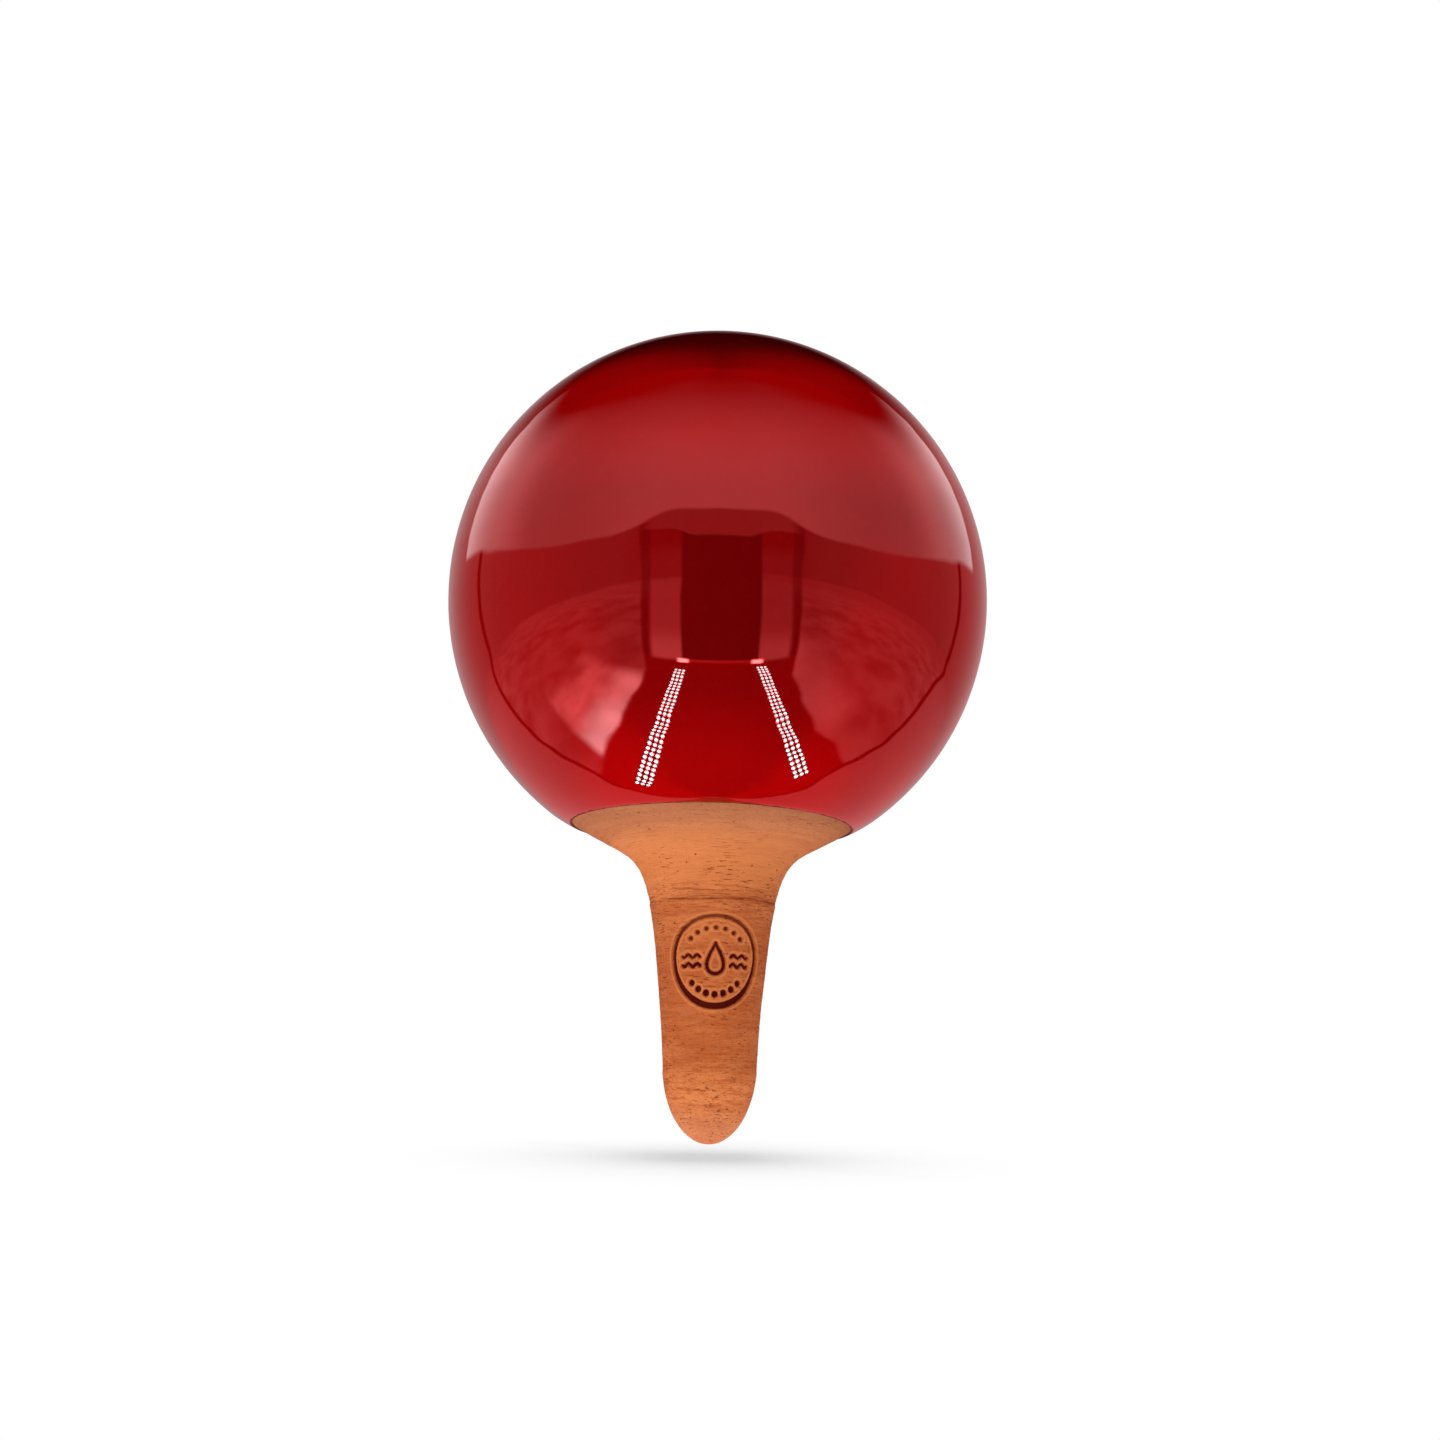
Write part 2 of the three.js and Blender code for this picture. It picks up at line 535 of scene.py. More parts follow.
class ClayGrain:
    """The patterns that the clay's colour and its relief share."""

    def __init__(self, shader: Shader, at: TurnedPlace, turned: Wire) -> None:
        """Lay the patterns.

        Args:
            shader: The material.
            at: Where a point lies.
            turned: How strongly the turning shows.
        """
        self.turned = turned
        self.fine = shader.noise(at.streak(0.17, 0.3), 1.0, 4.0, 0.65)
        self.turns = shader.noise(at.streak(0.6, 0.9), 1.0, 3.0, 0.6)
        self.bands = shader.noise(at.streak(1.6, 3.4), 1.0, 2.0)
        self.mealy = shader.noise(at.spot, 1.7, 3.0, 0.6)
        self.grain = shader.noise(at.spot, 5.0, 2.0)
        self.pits = shader.specks(at.spot, 0.52, 0.14, 0.26)
        self.grit = shader.specks(at.spot, 1.15, 0.19, 0.3)
        drawn = shader.noise(at.spot, 0.17, 1.0)
        dark = shader.noise(at.streak(0.13, 0.34), 1.0, 1.0).between(0.63, 0.72)
        self.dark_drags = dark * drawn.between(0.4, 0.58) * turned
        light = shader.noise(at.streak(0.19, 0.27), 1.7, 1.0).between(0.64, 0.73)
        self.light_drags = light * drawn.between(0.58, 0.44) * turned

    def height(self) -> Wire:
        """Give the relief of the turning lines, drags and pits.

        Returns:
            The height, whose unit is the clay's relief.
        """
        lines = self.fine * self.turned * 1.1 + self.turns * 0.8 + self.bands * 0.6
        raised = lines + self.mealy * 0.4 + self.grain * 0.25
        return raised - self.dark_drags * 1.3 - self.pits * 1.6 - self.grit * 0.4 + self.light_drags * 0.3


@dataclass(frozen=True)
class Terracotta:
    """Bare fired clay, finely turned."""

    body: Colour = srgb(209, 115, 61)
    warm: Colour = srgb(234, 140, 80)
    deep: Colour = srgb(174, 77, 32)
    # Pale dusty tone, which also serves as painted light on the tip.
    dust_and_painted_light: Colour = srgb(211, 140, 99)
    ashen: Colour = srgb(148, 96, 70)
    # Colour of the specks, which also serves as painted shade in hollows.
    fleck_and_hollow_shade: Colour = srgb(143, 50, 16)
    darkest_brown: Colour = srgb(86, 3, 0)
    glaze_line: float = 66.0
    smooth_line: float = 63.0
    neck_line: float = 56.0
    turned_line: float = 55.0
    seam_line: float = 49.6
    roughness: float = 0.86
    relief: float = 0.17
    lump_size: float = 11.0
    lump_depth: float = 0.2

    def fired(self, shader: Shader, at: TurnedPlace, grain: ClayGrain) -> Wire:
        """Lay the fired colours over one another, from the turned bands to the specks, with painted light
        and shade.

        Args:
            shader: The material.
            at: Where a point lies.
            grain: The clay's patterns.

        Returns:
            The colour.
        """
        turned, fine, turns, mealy = grain.turned, grain.fine, grain.turns, grain.mealy
        patches = shader.noise(at.spot, 0.11, 3.0)
        smears = shader.noise(at.streak(0.5, 0.42), 1.0, 2.0).between(0.53, 0.68)
        smears = smears * abs(at.z - self.seam_line).between(4.5, 1.0)
        lower_half = at.z.between(100, 90)
        fringe = at.z.between(self.glaze_line - 5.5, self.glaze_line + 0.3) * lower_half
        near_glaze = at.z.between(self.neck_line, self.glaze_line) * lower_half
        # Painted light: a lighter, warmer band on the neck.
        painted_neck_light = at.z.between(50, 54) * at.z.between(65, 59)
        # Painted shade: the middle of the spike is darkened.
        painted_mid_shade = at.z.between(8, 22) * at.z.between(54, 42)
        # Painted light: the tip is lightened.
        tip = at.z.between(11, 1)
        return shader.layered(
            self.body,
            (grain.bands.between(0.34, 0.66), self.warm),
            (patches.between(0.5, 0.74) * 0.4, self.deep),
            (fine.between(0.5, 0.32) * turned * 0.75, self.deep),
            (fine.between(0.57, 0.74) * turned * 0.65, self.dust_and_painted_light),
            (turns.between(0.5, 0.3) * turned * 0.6, self.deep),
            (turns.between(0.56, 0.76) * turned * 0.6, self.dust_and_painted_light),
            (mealy.between(0.54, 0.74) * 0.5, self.deep),
            (mealy.between(0.44, 0.26) * 0.35, self.dust_and_painted_light),
            # Painted shade on the middle of the spike.
            (painted_mid_shade * 0.4, self.deep),
            # Painted light on the neck.
            (painted_neck_light * 0.7, self.warm),
            # Painted light on the tip; the shoulder is also lighter towards the glaze.
            (near_glaze * 0.42 + 0.6 * tip, self.dust_and_painted_light),
            (grain.light_drags * 0.7, self.dust_and_painted_light),
            (fringe * (0.1 + 0.6 * mealy), self.ashen),
            (smears * 0.6, self.fleck_and_hollow_shade),
            (grain.grit * (0.45 + 0.4 * fringe), self.fleck_and_hollow_shade),
            # Part speck colour, part painted shade in the hollows of the drags and pits.
            (grain.dark_drags * 0.75, self.fleck_and_hollow_shade),
            (grain.pits * 0.85, self.fleck_and_hollow_shade),
        )

    def seam_crack(self, shader: Shader, at: TurnedPlace) -> Wire:
        """Draw the broken line along the luted seam.

        Args:
            shader: The material.
            at: Where a point lies.

        Returns:
            1 on the line and 0 beside it.
        """
        waver = shader.noise(at.streak(0.6, 4.0), 1.0, 3.0)
        line = abs(at.z - self.seam_line + 0.7 * (waver - 0.5)).between(0.3, 0.06)
        return line * shader.noise(at.streak(0.4, 9.0), 1.0, 3.0).between(0.36, 0.62)

    def material(self, name: str, seam: float = 0.0) -> bpy.types.Material:
        """Make the clay, whose points may say where a stamp is pressed in and where its lips stand, which
        get a painted highlight.

        Args:
            name: The material's name.
            seam: How dark the line along a luted seam is.

        Returns:
            The material.
        """
        shader = Shader(bpy.data.materials.new(name))
        at = TurnedPlace(shader)
        grain = ClayGrain(shader, at, 0.4 + 0.6 * at.z.between(self.smooth_line, self.turned_line))
        colour = self.fired(shader, at, grain)
        if seam:
            colour = shader.mix(self.seam_crack(shader, at) * seam, colour, self.darkest_brown)
        colour = shader.layered(
            colour,
            # Painted highlight on the stamp's raised lips.
            (shader.attribute("stamp_lip_highlight") * 0.6, self.warm),
            # The pressed stamp is darker, most towards its foot.
            (shader.attribute("stamp").between(0.3, 0.8) * 0.97, self.darkest_brown),
        )
        return shader.surface(
            Base_Color=colour,
            Roughness=self.roughness + 0.14 * (grain.fine - 0.5),
            Normal=shader.bump(grain.height(), self.relief, 0.85),
            Specular_IOR_Level=0.1,
        )


@dataclass(frozen=True)
class RedGlaze:
    """Deep red glaze with a red lustre under a clear gloss, with painted shade on its upper part and brown
    where it ends.
    """

    body: Colour = srgb(187, 8, 14)
    pooled: Colour = srgb(178, 6, 11)
    thin: Colour = srgb(198, 26, 19)
    # Painted shade: a darker red laid over the globe's upper part.
    crown: Colour = srgb(84, 2, 4)
    edge: Colour = srgb(56, 13, 9)
    painted_shade_low: float = 151.5
    painted_shade_high: float = 161.5
    lustre: float = 0.62
    gloss: float = 0.025
    relief: float = 0.12

    def material(self, name: str) -> bpy.types.Material:
        """Make the glaze, whose edge attribute is 1 along its two edges.

        Args:
            name: The material's name.

        Returns:
            The material.
        """
        shader = Shader(bpy.data.materials.new(name))
        at = TurnedPlace(shader)
        pool = shader.noise(at.spot, 0.03, 2.0)
        mottle = shader.noise(at.spot, 0.5, 3.0)
        rings = shader.noise(at.streak(2.2, 9.0), 1.0, 1.0)
        swell = shader.noise(at.spot, 0.055, 1.0)
        holes = shader.specks(at.spot, 0.2, 0.05, 0.3)
        edge = shader.attribute("edge")
        ragged = (edge + 0.3 * (mottle - 0.5)).between(0.72, 0.9)
        colour = shader.layered(
            self.pooled,
            (pool.between(0.35, 0.65), self.body),
            # Painted shade darkens the upper part of the globe.
            (at.z.between(self.painted_shade_low, self.painted_shade_high) * 0.55, self.crown),
            (mottle.between(0.5, 0.8) * 0.25, self.thin),
            (edge.between(0.25, 0.7) * 0.4, self.thin),
            (ragged, self.edge),
            (holes * 0.6, self.edge),
        )
        return shader.surface(
            Base_Color=colour,
            Metallic=self.lustre * (1 - ragged),
            Roughness=0.035 + 0.04 * mottle.between(0.55, 0.8) + 0.4 * ragged,
            Normal=shader.bump(rings * 0.5 + swell - holes * 0.3, self.relief, 0.5),
            Specular_IOR_Level=0.0,
            Coat_Weight=1 - 0.6 * ragged,
            Coat_Roughness=self.gloss,
        )


@dataclass(frozen=True)
class Cork:
    """Natural cork, with lenticels and grain."""

    body: Colour = srgb(201, 156, 108)
    light: Colour = srgb(220, 182, 136)
    dark: Colour = srgb(150, 104, 66)
    pore: Colour = srgb(74, 46, 29)
    relief: float = 0.3
    lump_size: float = 1.6
    lump_depth: float = 0.22

    def material(self, name: str) -> bpy.types.Material:
        """Make the cork.

        Args:
            name: The material's name.

        Returns:
            The material.
        """
        shader = Shader(bpy.data.materials.new(name))
        at = TurnedPlace(shader)
        cloud = shader.noise(at.spot, 0.45, 3.0)
        grain = shader.noise(at.spot, 3.2, 2.0)
        across = shader.scaled(at.spot, (0.55, 0.18, 0.55))
        pores = shader.noise(across, 1.0, 3.0, 0.6).between(0.6, 0.68)
        flecks = shader.specks(at.spot, 0.8, 0.24, 0.4)
        colour = shader.layered(
            self.body,
            (cloud.between(0.35, 0.65), self.light),
            (grain.between(0.5, 0.7) * 0.5, self.dark),
            (flecks * 0.55, self.dark),
            (pores * 0.85, self.pore),
        )
        height = grain * 0.35 + cloud * 0.3 - pores * 1.5 - flecks * 0.5
        return shader.surface(
            Base_Color=colour,
            Roughness=0.82 + 0.1 * pores,
            Normal=shader.bump(height, self.relief, 0.8),
            Specular_IOR_Level=0.3,
        )


# Pieces


@dataclass
class GlobeForm:
    """Sizes that the globe's clay and its glaze share."""

    radius: float = 60.0
    glaze: float = 0.7
    gap: float = 0.05
    centre: float = 117.25
    dip: float = 31.4
    rim_radius: float = 19.5
    rim_gap: float = 1.0

    @property
    def clay_radius(self) -> float:
        """Radius of the clay under the glaze."""
        return self.radius - self.glaze - self.gap

    @property
    def coat_top(self) -> float:
        """Angle where the glaze ends beside the rim, in degrees from the lower pole."""
        return 180 - math.degrees(math.asin((self.rim_radius + self.rim_gap) / self.clay_radius))

    def on_round(self, radius: float, angle: float) -> Point:
        """Give the point of a round about the globe's centre, at an angle from its lower pole."""
        return arc(self.centre, radius, radius, angle, angle, 1)[0]


@dataclass
class ClayGlobe:
    """The thrown globe, with its bare shoulder and neck, its standing rim and its filler mouth."""

    form: GlobeForm = field(default_factory=GlobeForm)
    finish: Terracotta = field(default_factory=Terracotta)
    wall: float = 5.5
    neck_bottom: float = 50.0
    neck_radius: float = 13.55
    neck_bore: float = 9.05
    neck_flare: float = 0.26
    neck_reach: float = 10.4
    shoulder_angle: float = 29.6
    shoulder_reach: float = 12.7
    throat_angle: float = 25.0
    throat_top: float = 56.0
    throat_reach: float = 8.0
    throat_rise: float = 5.0
    rim_top: float = 174.4
    mouth_radius: float = 16.0
    mouth_depth: float = 5.0
    seat_top_radius: float = 9.79
    seat_foot_radius: float = 9.13
    crown_inside: float = 163.4
    softness: float = 0.7
    globe_start: float = 31.1
    globe_end: float = 158.0
    ripple: float = 0.05
    ripple_waves: tuple[float, ...] = (1.3, 2.1, 0.72, 3.7)
    steps: int = 224

    def outside(self) -> list[Point]:
        """Follow the neck, the shoulder and the globe up to the rim.

        Returns:
            Points as radius and height.
        """
        form = self.form
        lift = math.radians(self.shoulder_angle)
        top = form.on_round(form.clay_radius, self.shoulder_angle)
        shoulder = bend(
            (self.neck_radius, self.neck_bottom + 0.1),
            (self.neck_radius + self.neck_flare * self.neck_reach, self.neck_bottom + self.neck_reach),
            (top[0] - self.shoulder_reach * math.cos(lift), top[1] - self.shoulder_reach * math.sin(lift)),
            top,
            90,
        )
        globe = arc(form.centre, form.clay_radius, form.clay_radius, self.globe_start, self.globe_end, 40)
        return rippled(shoulder, self.ripple, self.ripple_waves) + globe

    def rim(self) -> list[Point]:
        """Follow the standing rim and the dish down to the stopper's seat.

        Returns:
            Points as radius and height.
        """
        form, soft, top = self.form, self.softness, self.rim_top
        foot = form.centre + math.sqrt(form.clay_radius**2 - form.rim_radius**2)
        outer_corner, inner_corner = (form.rim_radius, top), (self.mouth_radius, top)
        brink = (self.mouth_radius - 0.05, top - soft)
        floor = top - self.mouth_depth
        rim_foot, flat_start = (form.rim_radius, foot), (form.rim_radius - soft, top)
        outer = bend(rim_foot, outer_corner, outer_corner, flat_start, 6)
        inner = bend((self.mouth_radius + soft, top), inner_corner, inner_corner, brink, 6)
        dish = bend(
            brink,
            (self.mouth_radius - 0.4, floor + 0.6),
            (self.mouth_radius - 2.6, floor),
            (self.seat_top_radius + 0.5, floor),
            14,
        )
        return outer + inner + dish[1:]

    def inside(self) -> list[Point]:
        """Follow the stopper's seat, the reservoir and the neck's bore.

        Returns:
            Points as radius and height.
        """
        form = self.form
        cavity = form.clay_radius - self.wall
        crown = 180 - math.degrees(math.asin(self.seat_foot_radius / cavity))
        rise = (self.crown_inside - form.centre) / -math.cos(math.radians(crown))
        lean = math.radians(self.throat_angle)
        top = form.on_round(cavity, self.throat_angle)
        throat = bend(
            top,
            (top[0] - self.throat_reach * math.cos(lean), top[1] - self.throat_reach * math.sin(lean)),
            (self.neck_bore, self.throat_top + self.throat_rise),
            (self.neck_bore, self.throat_top),
            10,
        )
        seat_top = self.rim_top - self.mouth_depth
        return [
            (self.seat_top_radius + 0.15, seat_top - 0.15),
            (self.seat_top_radius, seat_top - 0.5),
            (self.seat_foot_radius, self.crown_inside + 0.3),
            *arc(form.centre, cavity, rise, crown - 0.5, 90, 12),
            *arc(form.centre, cavity, cavity, 90, self.throat_angle, 12)[1:],
            *throat[1:],
            (self.neck_bore, self.neck_bottom),
        ]

    def build(self) -> bpy.types.Object:
        """Turn the globe and dress it.

        Returns:
            The finished piece.
        """
        start = (self.neck_radius - SEAM_INSET, self.neck_bottom)
        section = [start, *self.outside(), *self.rim(), *self.inside(), start]
        piece = turn("clay_globe", section, self.steps)
        roughen(piece, self.finish.lump_size, self.finish.lump_depth)
        seat(piece, Body.VESSEL, "globe_shell", self.finish.material("globe_clay"))
        return piece


@dataclass
class GlazeCoat:
    """The dipped glaze, with a rolled edge that runs unevenly round the shoulder."""

    form: GlobeForm = field(default_factory=GlobeForm)
    finish: RedGlaze = field(default_factory=RedGlaze)
    feather: float = 0.42
    feather_angle: float = 6.0
    lean: float = 1.25
    waver: float = 0.16
    creep: float = 0.25
    run_angle: float = 16.0
    edge_inset: float = 0.35
    edge_angle: float = 3.0
    ripple: float = 0.012
    ripple_waves: tuple[float, ...] = (4.3, 6.1, 9.7, 15.0)
    swell: float = 0.03
    swell_size: float = 8.0
    rows: int = 150
    steps: int = 288

    def section(self) -> list[Point]:
        """Follow the coat's section: outside, upper edge, underside and rolled lower edge.

        Returns:
            A closed outline, as radius and height.
        """
        form = self.form
        low, high = form.dip + self.edge_inset, form.coat_top - self.edge_inset
        outside = []
        for i in range(self.rows + 1):
            angle = low + (high - low) * i / self.rows
            near = max(0.0, 1 - (angle - form.dip) / self.feather_angle)
            outside.append(form.on_round(form.radius - self.feather * near**2, angle))
        brink = form.radius - form.glaze
        under = arc(form.centre, brink, brink, high, low, 60)
        middle = form.radius - form.glaze / 2
        upper = [form.on_round(middle + 0.2, high + 0.28), form.on_round(middle - 0.1, high + 0.34)]
        lower = [form.on_round(brink + 0.05, low - 0.16), form.on_round(brink + 0.17, low - 0.14)]
        outside = rippled(outside, self.ripple, self.ripple_waves)
        return [*outside, *upper, *under, *lower, outside[0]]

    def run_down(self, piece: bpy.types.Object) -> None:
        """Let the lower edge lean and waver, as a coat dipped by hand does, and mark both edges.

        Args:
            piece: The turned coat.
        """
        form = self.form
        points = points_of(piece)
        offset = points - (0, 0, form.centre)
        reach = np.linalg.norm(offset, axis=1)
        angle = np.degrees(np.arccos(np.clip(-offset[:, 2] / reach, -1, 1)))
        turn_round = np.arctan2(points[:, 1], points[:, 0])
        wave = sum(np.sin(k * turn_round + 1.3 * k) / k for k in (2, 3, 5, 8, 13))
        drop = self.creep + self.lean * np.maximum(np.cos(turn_round), 0) ** 2 + self.waver * wave
        loose = eased((form.dip + self.run_angle - angle) / self.run_angle)
        moved = np.radians(angle - np.degrees(drop / form.radius) * loose)
        flat = np.maximum(np.hypot(points[:, 0], points[:, 1]), 1e-9)
        made = np.empty_like(points)
        made[:, 0] = reach * np.sin(moved) * points[:, 0] / flat
        made[:, 1] = reach * np.sin(moved) * points[:, 1] / flat
        made[:, 2] = form.centre - reach * np.cos(moved)
        place_points(piece, made)
        away = np.minimum(angle - form.dip, form.coat_top - angle)
        mark(piece, "edge", np.clip(1 - away / self.edge_angle, 0, 1))

    def build(self) -> bpy.types.Object:
        """Turn the coat, let it run and dress it.

        Returns:
            The finished piece.
        """
        piece = turn("red_glaze_coat", self.section(), self.steps)
        roughen(piece, self.swell_size, self.swell)
        self.run_down(piece)
        seat(piece, Body.VESSEL, "glaze_coat", self.finish.material("red_gloss_glaze"))
        return piece


@dataclass(frozen=True)
class Stamp:
    """A round stamp: a ring round a drop between ripples, with two arcs of plain dots."""

    radius: float = 9.1
    ring_half: float = 0.5
    drop_width: float = 2.5
    drop_height: float = 3.1
    drop_middle: float = 0.5
    drop_half: float = 0.36
    ripple_start: float = 3.2
    ripple_end: float = 7.0
    ripple_level: float = 0.9
    ripple_height: float = 0.32
    ripple_turn: float = 3.3
    ripple_half: float = 0.32
    dot_ring: float = 6.75
    dot_reach: int = 48
    dot_step: int = 16
    dot_half: float = 0.56

    def dot(self, angle: float) -> np.ndarray:
        """Place a dot, which is a line without length, at an angle in degrees."""
        turn_round = math.radians(angle)
        spot = (self.dot_ring * math.cos(turn_round), self.dot_ring * math.sin(turn_round))
        return np.array([spot, spot])

    def strokes(self) -> list[tuple[np.ndarray, float]]:
        """Draw what stands inside the ring.

        Returns:
            Lines across and up from the stamp's middle in millimetres, each with half its width.
        """
        share = np.linspace(0, math.tau, 49)
        side = self.drop_width * np.sin(share) * np.sin(share / 2) ** 1.5
        drop = np.stack([side, self.drop_middle + self.drop_height * np.cos(share)], 1)
        run = np.linspace(self.ripple_start, self.ripple_end, 21)
        wave = self.ripple_height * np.cos(run * self.ripple_turn)
        levels = (self.ripple_level, -self.ripple_level)
        ripples = [np.stack([way * run, level + wave], 1) for way in (-1, 1) for level in levels]
        steps = range(-self.dot_reach, self.dot_reach + 1, self.dot_step)
        dots = [self.dot(middle + step) for middle in (90, 270) for step in steps]
        made = [(drop, self.drop_half)]
        made += [(ripple, self.ripple_half) for ripple in ripples]
        return made + [(dot, self.dot_half) for dot in dots]

    def gaps(self, spot: np.ndarray) -> list[tuple[np.ndarray, float]]:
        """Measure how far places lie from each line of the stamp.

        Args:
            spot: Places across and up from the stamp's middle, in millimetres.

        Returns:
            For each line, the places' distances from its middle and half its width.
        """
        away = np.hypot(*spot.T)
        near = away < self.radius
        made = [(np.abs(away - self.radius), self.ring_half)]
        for line, half in self.strokes():
            along = line[1:] - line[:-1]
            from_start = spot[near][:, None, :] - line[:-1]
            share = np.clip((from_start * along).sum(2) / np.maximum((along**2).sum(1), 1e-9), 0, 1)
            gap = np.full(len(spot), FAR)
            gap[near] = np.linalg.norm(from_start - share[..., None] * along, axis=2).min(1)
            made.append((gap, half))
        return made


@dataclass
class Spike:
    """The hollow clay spike, with the impressed stamp on its front."""

    finish: Terracotta = field(default_factory=Terracotta)
    stamp: Stamp = field(default_factory=Stamp)
    length: float = 49.2
    neck_radius: float = 13.55
    neck_flare: float = 0.26
    flare_length: float = 6.1
    nose_radius: float = 9.9
    nose_length: float = 16.0
    nose_blend: float = 3.0
    wall: float = 4.5
    tip: float = 6.0
    ripple: float = 0.045
    ripple_waves: tuple[float, ...] = (1.3, 2.3, 0.78, 4.1)
    stamp_height: float = 36.95
    stamp_turn: float = 4.0
    stamp_stretch: float = 1.03
    stamp_depth: float = 0.8
    stamp_field: float = 0.12
    stamp_margin: float = 1.4
    lip_height: float = 0.12
    lip_reach: float = 0.42
    lip_half: float = 0.25
    steps: int = 240

    def side(self, inset: float, steps: int) -> list[Point]:
        """Follow the spike's side above its nose.

        Args:
            inset: How far inside the outer wall.
            steps: Number of stretches.

        Returns:
            Points as radius and height.
        """
        nose = (self.nose_radius - inset, self.nose_length)
        end = (self.neck_radius - inset, self.length)
        flare = (end[0] - self.neck_flare * self.flare_length, end[1] - self.flare_length)
        return bend(nose, (nose[0], nose[1] + self.nose_blend), flare, end, steps)

    def section(self) -> list[Point]:
        """Follow the outside from the tip up, and the bore back down.

        Returns:
            An outline that starts and ends on the axis, as radius and height.
        """
        nose = arc(self.nose_length, self.nose_radius, self.nose_length, 0, 90, 40)
        outside = rippled(nose[1:-1] + self.side(0, 112), self.ripple, self.ripple_waves)
        outside[-1] = (outside[-1][0] - SEAM_INSET, self.length)
        bore_nose = self.nose_radius - self.wall
        bore = arc(self.nose_length, bore_nose, self.nose_length - self.tip, 90, 0, 10)
        return [nose[0], *outside, *reversed(self.side(self.wall, 10)), *bore[1:]]

    def on_stamp(self, points: np.ndarray) -> np.ndarray:
        """Unroll the spike's surface about the stamp's middle.

        Args:
            points: Places in millimetres.

        Returns:
            How far each place lies across and up from the stamp's middle, far away for the bore.
        """
        wall = np.array(self.side(0, 40))
        middle = np.interp(self.stamp_height, wall[:, 1], wall[:, 0])
        around = np.arctan2(points[:, 0], -points[:, 1]) - math.radians(self.stamp_turn)
        spot = np.stack([around * middle / self.stamp_stretch, points[:, 2] - self.stamp_height], 1)
        outside = np.interp(points[:, 2], wall[:, 1], wall[:, 0])
        spot[np.hypot(points[:, 0], points[:, 1]) < outside - 1] = FAR
        return spot

    def refine_stamp(self, piece: bpy.types.Object) -> None:
        """Divide the faces round the stamp, so that its lines come out clean.

        Args:
            piece: The turned spike.
        """
        centres = np.empty(len(piece.data.polygons) * 3, np.float32)
        piece.data.polygons.foreach_get("center", centres)
        spot = self.on_stamp(centres.reshape(-1, 3) / MM)
        select_faces(piece, (np.hypot(*spot.T) < self.stamp.radius + self.stamp_margin).tolist())
        bpy.ops.mesh.subdivide(number_cuts=2)
        bpy.ops.object.mode_set(mode="OBJECT")

    def press_stamp(self, piece: bpy.types.Object) -> None:
        """Press the stamp into the front, deeper towards its foot, and mark it for the clay's colour.

        Args:
            piece: The turned spike.
        """
        spot = self.on_stamp(points_of(piece))
        foot = np.clip(0.5 - spot[:, 1] / (2 * self.stamp.radius), 0, 1)
        pressed = np.where(np.hypot(*spot.T) < self.stamp.radius, self.stamp_field, 0.0)
        lip = np.zeros(len(spot))
        for gap, half in self.stamp.gaps(spot):
            edge = half * (0.8 + 0.5 * foot)
            pressed = np.maximum(pressed, eased((edge + 0.2 - gap) / 0.4) * (0.62 + 0.38 * foot))
            lip = np.maximum(lip, np.exp(-(((gap - edge - self.lip_reach) / self.lip_half) ** 2)))
        lip[pressed > 0.2] = 0
        mark(piece, "stamp", pressed)
        # The lips also get a painted highlight in the clay's colour.
        mark(piece, "stamp_lip_highlight", lip)
        self.push(piece, "press", pressed, -self.stamp_depth)
        self.push(piece, "lip", lip, self.lip_height)

    @staticmethod
    def push(piece: bpy.types.Object, name: str, weights: np.ndarray, depth: float) -> None:
        """Push a surface out along its normals by a weighted depth.

        Args:
            piece: The piece.
            name: The name of the weights' group.
            weights: Each point's share of the depth.
            depth: The depth in millimetres, inwards where negative.
        """
        group = piece.vertex_groups.new(name=name)
        for index in np.flatnonzero(weights > 0.002):
            group.add([int(index)], float(weights[index]), "REPLACE")
        displace(piece, name, depth, vertex_group=group.name, mid_level=0.0)

    def build(self) -> bpy.types.Object:
        """Turn the spike, press the stamp and dress it.

        Returns:
            The finished piece.
        """
        piece = turn("clay_spike", self.section(), self.steps)
        self.refine_stamp(piece)
        roughen(piece, self.finish.lump_size, self.finish.lump_depth)
        self.press_stamp(piece)
        seat(piece, Body.VESSEL, "spike", self.finish.material("spike_clay"))
        return piece


@dataclass
class SlipJoint:
    """The slip that lutes the spike to the neck, wiped almost flush."""

    finish: Terracotta = field(default_factory=Terracotta)
    low: float = 49.2
    high: float = 50.0
    radius: float = 13.55
    bore: float = 9.05
    sink: float = 0.16
    groove_top: float = 0.2
    groove_floor: float = 0.08
    darkness: float = 0.65
    steps: int = 224

    def build(self) -> bpy.types.Object:
        """Turn the ring of slip and dress it.

        Returns:
            The finished piece.
        """
        middle = (self.low + self.high) / 2
        flush, sunk = self.radius - SEAM_INSET, self.radius - self.sink
        section = [
            (self.bore, self.low),
            (flush, self.low),
            (flush, middle - self.groove_top),
            (sunk, middle - self.groove_floor),
            (sunk, middle + self.groove_floor),
            (flush, middle + self.groove_top),
            (flush, self.high),
            (self.bore, self.high),
            (self.bore, self.low),
        ]
        piece = turn("slip_seam", section, self.steps)
        roughen(piece, self.finish.lump_size, self.finish.lump_depth)
        skin = self.finish.material("slip_clay", self.darkness)
        seat(piece, Body.VESSEL, "slip_joint", skin)
        return piece


